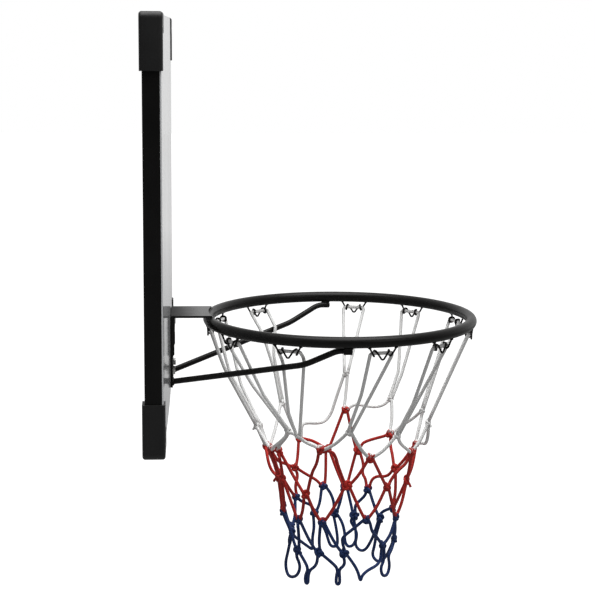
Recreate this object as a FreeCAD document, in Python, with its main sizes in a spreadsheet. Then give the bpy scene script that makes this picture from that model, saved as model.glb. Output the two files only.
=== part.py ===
import FreeCAD, Part
import math
import os
import Sketcher
from FreeCAD import Placement, Rotation, Vector

# A wall-hung basketball backboard: a crowned panel on a tube frame with corner caps, a fixed ring on a
# bolted bracket with two struts, and a cord net on wire hooks.
# +X points out of the wall, Y runs along the board, +Z is up. The origin is the middle of the wall
# bolts, on the wall. Lengths are in millimetres, angles in degrees.

SIZES = {
    "board_width": 900,
    "board_height": 600,
    "tube_depth": 24,
    "tube_width": 25,
    "tube_wall": 1.5,
    "tube_round": 2,
    "panel_thickness": 2,
    "panel_crown": 3.5,
    "panel_margin": 84,
    "fit_gap": 0.2,
    "cut_margin": 1,
    "cap_leg": 78,
    "cap_wall": 3.4,
    "cap_front_wall": 2,
    "cap_corner_round": 9,
    "cap_edge_round": 4,
    "sleeve_diameter": 12,
    "sleeve_bore": 8.5,
    "upright_width": 30,
    "upright_depth": 12,
    "upright_wall": 1.5,
    "screw_head_diameter": 8,
    "screw_head_depth": 1.8,
    "screw_diameter": 4,
    "screw_length": 14,
    "screw_margin": 38,
    "bolt_diameter": 6,
    "bolt_head_flats": 10,
    "bolt_head_height": 4,
    "bolt_rise": 70,
    "bolt_clearance": 1,
    "bolt_spare": 2,
    "washer_diameter": 17,
    "washer_thickness": 1.6,
    "nut_height": 5.2,
    "bracket_width": 95,
    "bracket_top_margin": 22,
    "bracket_foot_margin": 26,
    "bracket_sheet": 3.5,
    "bracket_bend": 2.5,
    "flange_depth": 6.5,
    "flange_length": 66,
    "flange_chamfer": 2.5,
    "ring_diameter": 450,
    "ring_bar": 18,
    "neck_gap": 53,
    "strut_rod": 9.5,
    "strut_foot_spread": 91,
    "strut_foot_height": 10,
    "strut_rise": 26.7,
    "strut_rise_run": 50,
    "strut_rise_spread": 23,
    "strut_flat_run": 20.5,
    "strut_flat_spread": 7,
    "strut_inset": 2.5,
    "strut_bend": 85,
    "strut_end_length": 13,
    "strut_end_width": 11,
    "weld_gap": 0.1,
    "hook_wire": 3,
    "hook_leg_spread": 48,
    "hook_leg_out": 2,
    "hook_eye_spread": 27,
    "hook_eye_step": 0.9,
    "hook_eye_drop": 9,
    "hook_eye_in": 3.3,
    "hook_dip_spread": 3,
    "hook_dip_drop": 18.5,
    "hook_bend": 3,
    "net_white_cord": 5,
    "net_colour_cord": 4,
    "net_white_knot": 13,
    "net_colour_knot": 11,
    "net_gap": 0.3,
    "net_loop_spread": 37,
    "net_loop_bend": 4,
    "net_strand_gap": 0.5,
    "net_end_bend": 7,
    "net_white_sag": 3,
    "net_colour_sag": 2,
}

# Where each wire hook is welded round the ring, counted from straight out of the board, and whether
# its net loop is draped over a strut
HOOKS = (
    (180, False),
    (156, False),
    (126.5, True),
    (78, False),
    (49, False),
    (18, False),
    (-12.5, False),
    (-47.5, False),
    (-77.5, False),
    (-116.5, True),
    (-147.5, False),
)

# The net's knots and, in its last row, the tips of its end loops: the angle round the ring's axis, the
# reach from that axis and the drop below the ring. The white knots hang under the hooks in turn. Each
# later one hangs between the knot of its own number in the row above and the next one.
NET_ROWS = {
    "white": (
        (180, 137, 182),
        (160, 137, 193),
        (130, 138, 168),
        (80, 148, 126),
        (47, 146, 163),
        (12, 148, 166),
        (-10, 149, 172),
        (-52, 138, 173),
        (-88, 138, 160),
        (-123, 138, 170),
        (-134, 130, 166),
    ),
    "upper_red": (
        (172, 122, 219),
        (159, 118, 221),
        (119, 118, 231),
        (79, 118, 183),
        (36, 118, 216),
        (4, 132, 218),
        (-26, 128, 214),
        (-69, 118, 209),
        (-109, 118, 195),
        (-150, 118, 210),
        (-162, 120, 213),
    ),
    "lower_red": (
        (155, 106, 276),
        (130, 105, 276),
        (95, 106, 250),
        (66, 107, 252),
        (19, 106, 267),
        (-9, 115, 273),
        (-45, 105, 267),
        (-87, 105, 256),
        (-125, 105, 276),
        (-154, 107, 260),
        (-175, 107, 264),
    ),
    "upper_blue": (
        (133, 96, 325),
        (100, 96, 314),
        (77, 96, 315),
        (52, 96, 315),
        (10, 97, 332),
        (-18, 100, 332),
        (-66, 96, 318),
        (-110, 96, 321),
        (-137, 96, 324),
        (-164, 97, 323),
        (-188, 96, 322),
    ),
    "lower_blue": (
        (112, 88, 358),
        (88, 88, 361),
        (65, 88, 363),
        (30, 90, 358),
        (-4, 96, 379),
        (-38, 90, 372),
        (-88, 88, 375),
        (-115, 88, 377),
        (-143, 88, 382),
        (-166, 80, 359),
        (-205, 88, 368),
    ),
    "end": (
        (90, 86, 421),
        (69, 86, 420),
        (53, 88, 425),
        (32, 88, 434),
        (-24, 86, 444),
        (-68, 85, 427),
        (-94, 85, 429),
        (-131, 85, 434),
        (-158, 85, 440),
        (-194, 82, 425),
        (-245, 86, 422),
    ),
}

# White cords with slack, by their upper and lower knots' numbers, and how far they sag
SLACK_CORDS = {(3, 2): 24, (4, 3): 8, (9, 8): 8}

# Where a net loop crosses a strut: along the ring, in from the ring's middle line, below it
LOOP_OVER_STRUT = (13, 33, 34)

# Lines and planes that the pieces share, worked out from the sizes
PLACES = {
    "half_width": "Sizes.board_width / 2",
    "half_height": "Sizes.board_height / 2",
    "inner_width": "half_width - Sizes.tube_width",
    "inner_height": "half_height - Sizes.tube_width",
    "tube_line_y": "half_width - Sizes.tube_width / 2",
    "tube_line_z": "half_height - Sizes.tube_width / 2",
    "frame_back": "Sizes.cap_wall + Sizes.fit_gap",
    "frame_front": "frame_back + Sizes.tube_depth",
    "panel_front": "frame_front + Sizes.panel_thickness",
    "crown_half": "half_width - Sizes.panel_margin",
    "crown_radius": "(Sizes.panel_crown^2 + crown_half^2) / (2 * Sizes.panel_crown)",
    "board_face": "panel_front + Sizes.panel_crown",
    "cap_pocket_front": "panel_front + Sizes.fit_gap",
    "cap_front": "cap_pocket_front + Sizes.cap_front_wall",
    "cap_pocket_y": "half_width + Sizes.fit_gap",
    "cap_pocket_z": "half_height + Sizes.fit_gap",
    "cap_out_y": "cap_pocket_y + Sizes.cap_wall",
    "cap_out_z": "cap_pocket_z + Sizes.cap_wall",
    "ring_mid": "(Sizes.ring_diameter - Sizes.ring_bar) / 2",
    "ring_x": "board_face + Sizes.neck_gap + Sizes.ring_diameter / 2",
    "bracket_half": "Sizes.bracket_width / 2",
    "bolt_y": "bracket_half - Sizes.bracket_sheet - Sizes.bolt_clearance - Sizes.bolt_head_flats / 2",
    "bolt_low": "Sizes.bolt_clearance + Sizes.washer_diameter / 2 - inner_height",
    "bolt_top": "bolt_low + Sizes.bolt_rise",
    "bracket_foot": "bolt_low - Sizes.bracket_foot_margin",
    "neck_top": "bolt_top + Sizes.bracket_top_margin",
    "neck_under": "neck_top - Sizes.bracket_sheet",
    "ring_z": "neck_under - Sizes.ring_bar / 2",
    "plate_front": "board_face + Sizes.bracket_sheet",
    "flange_front": "board_face + Sizes.flange_depth",
    "flange_foot": "neck_top - Sizes.flange_length",
    "upright_in": "bolt_y - Sizes.upright_width / 2",
    "upright_out": "bolt_y + Sizes.upright_width / 2",
    "upright_front": "frame_front + Sizes.panel_crown * (1 - (upright_out / crown_half)^2)",
    "upright_back": "upright_front - Sizes.upright_depth",
    "washer_back": "upright_back - Sizes.washer_thickness",
    "nut_back": "washer_back - Sizes.nut_height",
    "bolt_end": "nut_back - Sizes.bolt_spare",
    "screw_seat": "panel_front - Sizes.screw_head_depth",
    "screw_end": "panel_front - Sizes.screw_length",
    "screw_top": "cap_out_z - Sizes.cap_leg - Sizes.screw_margin",
    "sleeve_hole": "Sizes.sleeve_diameter / 2 + Sizes.fit_gap",
    "bolt_hole": "Sizes.bolt_diameter / 2 + Sizes.fit_gap",
    "bolt_thread": "(Sizes.bolt_diameter + Sizes.fit_gap) / 2",
    "screw_hole": "Sizes.screw_diameter / 2 + Sizes.fit_gap",
    "screw_thread": "(Sizes.screw_diameter + Sizes.fit_gap) / 2",
    "screw_head_hole": "Sizes.screw_head_diameter / 2 + Sizes.fit_gap",
}

TURN_TO_X = Rotation(Vector(0, 1, 0), 90)
CORNERS = [(side, level) for level in ("", "-") for side in ("", "-")]
UP, DOWN = Vector(0, 0, 1), Vector(0, 0, -1)
TOUCH = 0.01
ARC_SHARE = 0.45
LINE_START, LINE_END = 1, 2

doc = FreeCAD.newDocument("Backboard")
nodes = []


def make_sheet():
    sheet = doc.addObject("Spreadsheet::Sheet", "Sizes")
    for row, (alias, number) in enumerate(SIZES.items(), start=1):
        sheet.set(f"A{row}", alias)
        sheet.set(f"B{row}", str(number))
        sheet.setAlias(f"B{row}", alias)
    doc.recompute()
    return sheet


def make_places():
    places = doc.addObject("App::FeaturePython", "Places")
    for name in PLACES:
        places.addProperty("App::PropertyFloat", name, "Places")
    for name, formula in PLACES.items():
        places.setExpression(name, formula)
    doc.recompute()
    return places


sizes = make_sheet()
places = make_places()


def add(kind, name):
    return doc.addObject(kind, name)


def keep(piece):
    nodes.append(piece)
    return piece


# Solids between planes given as formulas
def block(name, x, y, z):
    box = add("Part::Box", name)
    for side, axis, (low, high) in zip(("Length", "Width", "Height"), "xyz", (x, y, z)):
        box.setExpression(side, f"({high}) - ({low})")
        box.setExpression(f"Placement.Base.{axis}", low)
    return box


def lay_along_x(piece, x, y, z):
    piece.Placement = Placement(Vector(), TURN_TO_X)
    piece.setExpression("Height", f"({x[1]}) - ({x[0]})")
    for axis, formula in zip("xyz", (x[0], y, z)):
        piece.setExpression(f"Placement.Base.{axis}", formula)
    return piece


def rod(name, x, y, z, radius):
    cylinder = lay_along_x(add("Part::Cylinder", name), x, y, z)
    cylinder.setExpression("Radius", radius)
    return cylinder


def hexagon(name, x, y, z, flats):
    prism = lay_along_x(add("Part::Prism", name), x, y, z)
    prism.Polygon = 6
    prism.setExpression("Circumradius", f"({flats}) / sqrt(3)")
    return prism


def cone(name, x, y, z, radius_back, radius_front):
    taper = lay_along_x(add("Part::Cone", name), x, y, z)
    taper.setExpression("Radius1", radius_back)
    taper.setExpression("Radius2", radius_front)
    return taper


def fuse(name, pieces):
    whole = add("Part::MultiFuse", name)
    whole.Shapes = pieces
    whole.Refine = True
    return whole


def cut(name, base, tools):
    rest = add("Part::Cut", name)
    rest.Base = base
    rest.Tool = tools[0] if len(tools) == 1 else fuse(f"{name}_cuts", tools)
    rest.Refine = True
    return rest


def group(name, pieces):
    bundle = add("Part::Compound", name)
    bundle.Links = pieces
    return keep(bundle)


def mirror(name, source, normal):
    copy = add("Part::Mirroring", name)
    copy.Source = source
    copy.Normal = normal
    return keep(copy)


def round_edges(kind, name, base, radius, wanted):
    doc.recompute()
    softened = add(kind, name)
    softened.Base = base
    edges = enumerate(base.Shape.Edges, start=1)
    softened.Edges = [(index, radius, radius) for index, edge in edges if wanted(edge)]
    return softened


def near(number, place):
    return abs(number - place) < TOUCH


# Frame, caps and the sleeves for the wall bolts
def corner_holes(name, x, levels=("", "-")):
    corners = [(side, level) for side, level in CORNERS if level in levels]
    spots = [(f"{side}Places.tube_line_y", f"{level}Places.tube_line_z") for side, level in corners]
    return [rod(f"{name}_hole_{i}", x, y, z, "Places.sleeve_hole") for i, (y, z) in enumerate(spots)]


def through(low, high):
    return f"{low} - Sizes.cut_margin", f"{high} + Sizes.cut_margin"


def inset(low, high, wall):
    return f"{low} + {wall}", f"{high} - {wall}"


def along_tube(edge):
    return edge.Length > sizes.tube_depth + sizes.tube_width


def make_cross_tube(name, low, high, level):
    x = ("Places.frame_back", "Places.frame_front")
    y = ("-Places.half_width", "Places.half_width")
    wall = "Sizes.tube_wall"
    outside = block(f"{name}_outside", x, y, (low, high))
    rounded = round_edges("Part::Fillet", f"{name}_rounded", outside, sizes.tube_round, along_tube)
    inside = block(f"{name}_inside", inset(*x, wall), through(*y), inset(low, high, wall))
    keep(cut(name, rounded, [inside] + corner_holes(name, through(*x), (level,))))


def screw_spots():
    rows = ("-Places.screw_top", "-Places.screw_top / 3", "Places.screw_top / 3", "Places.screw_top")
    return [(f"{side}Places.tube_line_y", row) for side in ("", "-") for row in rows]


def make_side_tube(name, low, high, side):
    x = ("Places.frame_back", "Places.frame_front")
    z = ("-Places.inner_height", "Places.inner_height")
    wall = "Sizes.tube_wall"
    outside = block(f"{name}_outside", x, (low, high), z)
    rounded = round_edges("Part::Fillet", f"{name}_rounded", outside, sizes.tube_round, along_tube)
    inside = block(f"{name}_inside", inset(*x, wall), inset(low, high, wall), through(*z))
    drilled = through("Places.frame_front - Sizes.tube_wall", "Places.frame_front")
    radius = "Places.screw_thread"
    spots = [spot for spot in screw_spots() if spot[0] == f"{side}Places.tube_line_y"]
    pilots = [rod(f"{name}_pilot_{i}", drilled, y, z, radius) for i, (y, z) in enumerate(spots)]
    keep(cut(name, rounded, [inside] + pilots))


def make_frame():
    make_cross_tube("frame_top", "Places.inner_height", "Places.half_height", "")
    make_cross_tube("frame_bottom", "-Places.half_height", "-Places.inner_height", "-")
    make_side_tube("frame_right", "Places.inner_width", "Places.half_width", "")
    make_side_tube("frame_left", "-Places.half_width", "-Places.inner_width", "-")


def on_cap_outline(edge):
    middle = edge.valueAt((edge.FirstParameter + edge.LastParameter) / 2)
    on_face = near(middle.x, 0) or near(middle.x, places.cap_front)
    straight = near(middle.y, places.cap_out_y) or near(middle.z, places.cap_out_z)
    return on_face and (straight or isinstance(edge.Curve, Part.Circle))


def on_cap_corner(edge):
    middle = edge.valueAt((edge.FirstParameter + edge.LastParameter) / 2)
    return near(middle.y, places.cap_out_y) and near(middle.z, places.cap_out_z)


def make_caps():
    x = ("0", "Places.cap_front")
    out_y, out_z = "Places.cap_out_y", "Places.cap_out_z"
    far_y, far_z = f"{out_y} - Sizes.cap_leg", f"{out_z} - Sizes.cap_leg"
    level_leg = block("cap_level_leg", x, (far_y, out_y), ("Places.inner_height", out_z))
    upright_leg = block("cap_upright_leg", x, ("Places.inner_width", out_y), (far_z, out_z))
    elbow = fuse("cap_elbow", [level_leg, upright_leg])
    turned = round_edges("Part::Fillet", "cap_turned", elbow, sizes.cap_corner_round, on_cap_corner)
    softened = round_edges("Part::Fillet", "cap_softened", turned, sizes.cap_edge_round, on_cap_outline)
    pocket = block(
        "cap_pocket",
        ("Sizes.cap_wall", "Places.cap_pocket_front"),
        (f"{far_y} - Sizes.cut_margin", "Places.cap_pocket_y"),
        (f"{far_z} - Sizes.cut_margin", "Places.cap_pocket_z"),
    )
    hole = rod("cap_hole", through(*x), "Places.tube_line_y", "Places.tube_line_z", "Places.sleeve_hole")
    cap = keep(cut("corner_cap_top_right", softened, [pocket, hole]))
    mirror("corner_cap_top_left", cap, Vector(0, 1, 0))
    lower = mirror("corner_cap_bottom_right", cap, Vector(0, 0, 1))
    mirror("corner_cap_bottom_left", lower, Vector(0, 1, 0))


def make_sleeves():
    x = ("0", "Places.cap_front")
    sleeves = []
    for index, (side, level) in enumerate(CORNERS):
        spot = (f"{side}Places.tube_line_y", f"{level}Places.tube_line_z")
        outside = rod(f"sleeve_outside_{index}", x, *spot, "Sizes.sleeve_diameter / 2")
        bore = rod(f"sleeve_bore_{index}", through(*x), *spot, "Sizes.sleeve_bore / 2")
        sleeves.append(cut(f"sleeve_{index}", outside, [bore]))
    group("wall_bolt_sleeves", sleeves)


# The crowned panel: flat margins on the side tubes and a shallow arc between them
def panel_sketch(body):
    sketch = body.newObject("Sketcher::SketchObject", "panel_section")
    level_plane = [plane for plane in body.Origin.OriginFeatures if plane.Role == "XY_Plane"][0]
    sketch.AttachmentSupport = [(level_plane, "")]
    sketch.MapMode = "FlatFace"
    sketch.setExpression("AttachmentOffset.Base.z", "-Places.half_height")
    corners = [
        ("frame_front", "-half_width"),
        ("panel_front", "-half_width"),
        ("panel_front", "-crown_half"),
        ("panel_front", "crown_half"),
        ("panel_front", "half_width"),
        ("frame_front", "half_width"),
        ("frame_front", "crown_half"),
        ("frame_front", "-crown_half"),
    ]
    points = [Vector(place(x), place(y), 0) for x, y in corners]
    crown = Vector(sizes.panel_crown, 0, 0)
    starts = []
    for index, (point, after) in enumerate(zip(points, points[1:] + points[:1])):
        crowned = near(abs(point.y), places.crown_half) and near(point.y, -after.y)
        if crowned:
            top = Vector(point.x, 0, 0) + crown
            low, high = sorted((point, after), key=lambda end: end.y)
            edge = sketch.addGeometry(Part.Arc(low, top, high))
            sketch.addConstraint(Sketcher.Constraint("Radius", edge, places.crown_radius))
            sketch.setExpression(f"Constraints[{sketch.ConstraintCount - 1}]", "Places.crown_radius")
            starts.append((edge, LINE_START if point is low else LINE_END))
        else:
            starts.append((sketch.addGeometry(Part.LineSegment(point, after)), LINE_START))
        x, y = corners[index]
        for kind, word in (("DistanceX", x), ("DistanceY", y)):
            sketch.addConstraint(Sketcher.Constraint(kind, -1, 1, *starts[index], place(word)))
            sketch.setExpression(f"Constraints[{sketch.ConstraintCount - 1}]", formula(word))
    for index, start in enumerate(starts):
        edge, end = starts[index - 1]
        other = LINE_END if end == LINE_START else LINE_START
        sketch.addConstraint(Sketcher.Constraint("Coincident", edge, other, *start))
    return sketch


def place(word):
    value = getattr(places, word.lstrip("-"))
    return -value if word.startswith("-") else value


def formula(word):
    sign = "-" if word.startswith("-") else ""
    return f"{sign}Places.{word.lstrip('-')}"


def bolt_spots():
    levels = ("Places.bolt_top", "Places.bolt_low")
    return [(f"{side}Places.bolt_y", level) for level in levels for side in ("", "-")]


def make_panel():
    body = add("PartDesign::Body", "panel_body")
    pad = body.newObject("PartDesign::Pad", "panel_sheet")
    pad.Profile = panel_sketch(body)
    pad.setExpression("Length", "Sizes.board_height")
    x = through("Places.frame_front", "Places.board_face")
    holes = corner_holes("panel", x)
    for index, (y, z) in enumerate(bolt_spots()):
        holes.append(rod(f"panel_bolt_hole_{index}", x, y, z, "Places.bolt_hole"))
    seat_x = ("Places.screw_seat", "Places.panel_front")
    taper = ("Places.screw_hole", "Places.screw_head_hole")
    for index, (y, z) in enumerate(screw_spots()):
        holes.append(cone(f"panel_screw_seat_{index}", seat_x, y, z, *taper))
        holes.append(rod(f"panel_screw_hole_{index}", x, y, z, "Places.screw_hole"))
    keep(cut("backboard_panel", body, holes))


def make_panel_screws():
    screws = []
    shank_x = ("Places.screw_end", "Places.screw_seat")
    head_x = ("Places.screw_seat", "Places.panel_front")
    narrow, wide = "Sizes.screw_diameter / 2", "Sizes.screw_head_diameter / 2"
    for index, (y, z) in enumerate(screw_spots()):
        shank = rod(f"screw_shank_{index}", shank_x, y, z, narrow)
        head = cone(f"screw_head_{index}", head_x, y, z, narrow, wide)
        screws.append(fuse(f"screw_{index}", [shank, head]))
    group("panel_screws", screws)


# Uprights behind the panel and the bolts that clamp the bracket to them
def make_upright(name, low, high, side):
    x = ("Places.upright_back", "Places.upright_front")
    z = ("-Places.inner_height", "Places.inner_height")
    wall = "Sizes.upright_wall"
    outside = block(f"{name}_outside", x, (low, high), z)
    inside = block(f"{name}_inside", inset(*x, wall), inset(low, high, wall), through(*z))
    spots = [spot for spot in bolt_spots() if spot[0] == f"{side}Places.bolt_y"]
    holes = [rod(f"{name}_hole_{i}", through(*x), y, z, "Places.bolt_hole") for i, (y, z) in enumerate(spots)]
    keep(cut(name, outside, [inside] + holes))


def make_uprights():
    make_upright("rear_upright_right", "Places.upright_in", "Places.upright_out", "")
    make_upright("rear_upright_left", "-Places.upright_out", "-Places.upright_in", "-")


def make_rim_fasteners():
    bolts, washers, nuts = [], [], []
    shank_x = ("Places.bolt_end", "Places.plate_front")
    head_x = ("Places.plate_front", "Places.plate_front + Sizes.bolt_head_height")
    washer_x = ("Places.washer_back", "Places.upright_back")
    nut_x = ("Places.nut_back", "Places.washer_back")
    for index, (y, z) in enumerate(bolt_spots()):
        shank = rod(f"bolt_shank_{index}", shank_x, y, z, "Sizes.bolt_diameter / 2")
        head = hexagon(f"bolt_head_{index}", head_x, y, z, "Sizes.bolt_head_flats")
        bolts.append(fuse(f"bolt_{index}", [shank, head]))
        disc = rod(f"washer_disc_{index}", washer_x, y, z, "Sizes.washer_diameter / 2")
        hole = rod(f"washer_hole_{index}", through(*washer_x), y, z, "Places.bolt_hole")
        washers.append(cut(f"washer_{index}", disc, [hole]))
        blank = hexagon(f"nut_blank_{index}", nut_x, y, z, "Sizes.bolt_head_flats")
        tapped = rod(f"nut_hole_{index}", through(*nut_x), y, z, "Places.bolt_thread")
        nuts.append(cut(f"nut_{index}", blank, [tapped]))
    group("rim_bolts", bolts)
    group("rim_washers", washers)
    group("rim_nuts", nuts)


# The bracket is one pressing: neck plate, back plate and two side flanges
def on_bracket_bend(edge):
    middle = edge.valueAt((edge.FirstParameter + edge.LastParameter) / 2)
    at_top = near(middle.z, places.neck_top)
    at_side = near(abs(middle.y), places.bracket_half) and not near(middle.z, places.bracket_foot)
    return near(middle.x, places.board_face) and (at_top or at_side)


def on_flange_corner(edge):
    middle = edge.valueAt((edge.FirstParameter + edge.LastParameter) / 2)
    return near(middle.x, places.flange_front) and near(middle.z, places.flange_foot)


def make_bracket():
    y = ("-Places.bracket_half", "Places.bracket_half")
    plate_x = ("Places.board_face", "Places.plate_front")
    plate = block("bracket_plate", plate_x, y, ("Places.bracket_foot", "Places.neck_top"))
    neck_x = ("Places.board_face", "Places.ring_x")
    neck = block("bracket_neck", neck_x, y, ("Places.neck_under", "Places.neck_top"))
    flange_x = ("Places.board_face", "Places.flange_front")
    flange_z = ("Places.flange_foot", "Places.neck_top")
    inner = "Places.bracket_half - Sizes.bracket_sheet"
    flanges = [
        block("bracket_flange_right", flange_x, (inner, "Places.bracket_half"), flange_z),
        block("bracket_flange_left", flange_x, ("-Places.bracket_half", f"-({inner})"), flange_z),
    ]
    folded = fuse("bracket_folded", [plate, neck] + flanges)
    bent = round_edges("Part::Fillet", "bracket_bent", folded, sizes.bracket_bend, on_bracket_bend)
    snipped = round_edges("Part::Chamfer", "bracket_snipped", bent, sizes.flange_chamfer, on_flange_corner)
    ring_line = add("Part::Cylinder", "bracket_ring_line")
    ring_line.setExpression("Radius", "Places.ring_mid")
    ring_line.setExpression("Height", "Sizes.bracket_sheet + 2 * Sizes.cut_margin")
    ring_line.setExpression("Placement.Base.x", "Places.ring_x")
    ring_line.setExpression("Placement.Base.z", "Places.neck_under - Sizes.cut_margin")
    holes = []
    for index, (y, z) in enumerate(bolt_spots()):
        holes.append(rod(f"bracket_hole_{index}", through(*plate_x), y, z, "Places.bolt_hole"))
    keep(cut("rim_bracket", snipped, [ring_line] + holes))


def make_ring():
    ring = keep(add("Part::Torus", "rim_ring"))
    ring.setExpression("Radius1", "Places.ring_mid")
    ring.setExpression("Radius2", "Sizes.ring_bar / 2")
    ring.setExpression("Placement.Base.x", "Places.ring_x")
    ring.setExpression("Placement.Base.z", "Places.ring_z")
    doc.recompute()
    return ring


# Bent rods and cords: straight runs joined by tangent arcs
def bent_path(points, bend):
    edges = []
    start = points[0]
    for before, corner, after in zip(points, points[1:], points[2:]):
        back, ahead = before - corner, after - corner
        room = ARC_SHARE * min(back.Length, ahead.Length)
        half_turn = (math.pi - back.getAngle(ahead)) / 2
        reach = min(room, bend * math.tan(half_turn))
        back.normalize()
        ahead.normalize()
        enter, leave = corner + back * reach, corner + ahead * reach
        radius = reach / math.tan(half_turn)
        bisector = (back + ahead).normalize()
        middle = corner + bisector * (radius / math.cos(half_turn) - radius)
        edges.append(Part.LineSegment(start, enter).toShape())
        edges.append(Part.Arc(enter, middle, leave).toShape())
        start = leave
    edges.append(Part.LineSegment(start, points[-1]).toShape())
    return Part.Wire(edges)


def tube_along(wire, radius):
    first = wire.Edges[0]
    start = first.valueAt(first.FirstParameter)
    section = Part.Wire(Part.makeCircle(radius, start, first.tangentAt(first.FirstParameter)))
    return wire.makePipeShell([section], True, False)


def feature(name, solids):
    piece = add("Part::Feature", name)
    piece.Shape = solids[0] if len(solids) == 1 else Part.makeCompound(solids)
    piece.Placement = Placement()
    return keep(piece)


def make_strut(name, side):
    foot_z = places.bracket_foot + sizes.strut_foot_height
    foot = Vector(places.plate_front, sizes.strut_foot_spread / 2, foot_z)
    under_ring = places.ring_z - sizes.ring_bar / 2 - sizes.weld_gap
    end = Vector(places.ring_x, places.ring_mid - sizes.strut_inset, under_ring - sizes.strut_rod / 2)
    level = end - Vector(sizes.strut_flat_run, sizes.strut_flat_spread, 0)
    rise = level - Vector(sizes.strut_rise_run, sizes.strut_rise_spread, sizes.strut_rise)
    root = foot - (rise - foot).normalize() * sizes.strut_rod
    rod_shape = tube_along(bent_path([root, rise, level, end], sizes.strut_bend), sizes.strut_rod / 2)
    reach = 4 * sizes.strut_rod
    behind = Part.makeBox(reach, reach, reach, foot - Vector(reach, reach / 2, reach / 2))
    flat_length, flat_width = sizes.strut_end_length, sizes.strut_end_width
    corner = end - Vector(flat_length, flat_width / 2, sizes.strut_rod / 2)
    flat = Part.makeBox(flat_length, flat_width, sizes.strut_rod, corner)
    strut = rod_shape.cut(behind).fuse(flat).removeSplitter()
    feature(name, [strut if side > 0 else strut.mirror(Vector(), Vector(0, 1, 0))])


def at_ring(angle, along, inward, below):
    turn = math.radians(angle)
    outward = Vector(math.cos(turn), math.sin(turn), 0)
    tangent = Vector(-math.sin(turn), math.cos(turn), 0)
    centre = Vector(places.ring_x, 0, places.ring_z)
    return centre + outward * (places.ring_mid - inward) + tangent * along + DOWN * below


# Each hook is one wire: a leg, an eye turned round the net loop, a dip, a second eye and a leg
def make_hooks(ring):
    under = sizes.ring_bar / 2
    start, step = sizes.hook_eye_spread / 2, sizes.hook_eye_step
    eye = (sizes.hook_wire + sizes.net_white_cord) / 2 + sizes.net_gap
    outside, inside = sizes.hook_eye_in - eye, sizes.hook_eye_in + eye
    top, foot = under + sizes.hook_eye_drop - eye, under + sizes.hook_eye_drop + eye
    half = [
        (sizes.hook_leg_spread / 2, -sizes.hook_leg_out, under / 2),
        (start, outside, foot),
        (start - step, inside, foot),
        (start - 2 * step, inside, top),
        (start - 3 * step, outside, top),
        (sizes.hook_dip_spread / 2, outside, under + sizes.hook_dip_drop),
    ]
    outline = [(-along, inward, below) for along, inward, below in half] + half[::-1]
    hooks = []
    for angle, _ in HOOKS:
        route = [at_ring(angle, *point) for point in outline]
        wire = tube_along(bent_path(route, sizes.hook_bend), sizes.hook_wire / 2)
        hooks.append(max(wire.cut(ring.Shape).Solids, key=lambda solid: solid.Volume))
    feature("net_hooks", hooks)


# The net: loops on the hooks, then rows of knots, each knot under two of the row above
def knot_centres():
    return {
        row: [at_ring(angle, 0, places.ring_mid - reach, drop) for angle, reach, drop in hung]
        for row, hung in NET_ROWS.items()
    }


def knots(centres, diameter):
    return [Part.makeSphere(diameter / 2, centre) for centre in centres]


def cord_end(knot, knot_size, side, cord_size, towards):
    outward = Vector(knot.x - places.ring_x, knot.y, 0)
    aside = UP.cross(outward).normalize() * side * (cord_size + sizes.net_strand_gap) / 2
    slope = (towards - knot - aside).normalize()
    return knot + aside + slope * (knot_size / 2 + sizes.net_gap - aside.dot(slope))


def hanging_row(upper, upper_knot, lower, lower_knot, cord_size, sag, slack=()):
    cords = []
    for number, knot in enumerate(lower):
        for above, side in ((number, 1), ((number + 1) % len(upper), -1)):
            drop = slack[above, number] if (above, number) in slack else sag
            middle = (upper[above] + knot) / 2 + DOWN * drop
            top = cord_end(upper[above], upper_knot, -side, cord_size, middle)
            foot = cord_end(knot, lower_knot, side, cord_size, middle)
            bow = Part.Wire(Part.Arc(top, middle, foot).toShape())
            cords.append(tube_along(bow, cord_size / 2))
    return cords


def make_loops(white_knots):
    through_eye = (sizes.net_loop_spread / 2, sizes.hook_eye_in, sizes.ring_bar / 2 + sizes.hook_eye_drop)
    loops = []
    for (angle, over_strut), knot in zip(HOOKS, white_knots):
        route = []
        for side in (-1, 1):
            points = [LOOP_OVER_STRUT] * over_strut + [through_eye]
            hung = [at_ring(angle, side * along, inward, below) for along, inward, below in points]
            hung.insert(0, cord_end(knot, sizes.net_white_knot, side, sizes.net_white_cord, hung[0]))
            route += hung if side < 0 else hung[::-1]
        loops.append(tube_along(bent_path(route, sizes.net_loop_bend), sizes.net_white_cord / 2))
    feature("net_loops", loops)


def make_net():
    centres = knot_centres()
    white_knot, colour_knot = sizes.net_white_knot, sizes.net_colour_knot
    white_cord, colour_cord = sizes.net_white_cord, sizes.net_colour_cord
    make_loops(centres["white"])
    feature("net_white_knots", knots(centres["white"], white_knot))
    feature("net_red_knots", knots(centres["upper_red"] + centres["lower_red"], colour_knot))
    feature("net_blue_knots", knots(centres["upper_blue"] + centres["lower_blue"], colour_knot))
    upper, lower = centres["white"], centres["upper_red"]
    step = (white_cord, sizes.net_white_sag, SLACK_CORDS)
    whites = hanging_row(upper, white_knot, lower, colour_knot, *step)
    feature("net_white_cords", whites)
    step = (colour_knot, colour_cord, sizes.net_colour_sag)
    feature("net_red_cords", colour_rows(centres, ("upper_red", "lower_red", "upper_blue"), *step))
    blues = colour_rows(centres, ("upper_blue", "lower_blue"), *step)
    feature("net_blue_cords", blues + end_loops(centres["lower_blue"], centres["end"]))


def colour_rows(centres, rows, knot, cord, sag):
    cords = []
    for upper, lower in zip(rows, rows[1:]):
        cords += hanging_row(centres[upper], knot, centres[lower], knot, cord, sag)
    return cords


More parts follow.
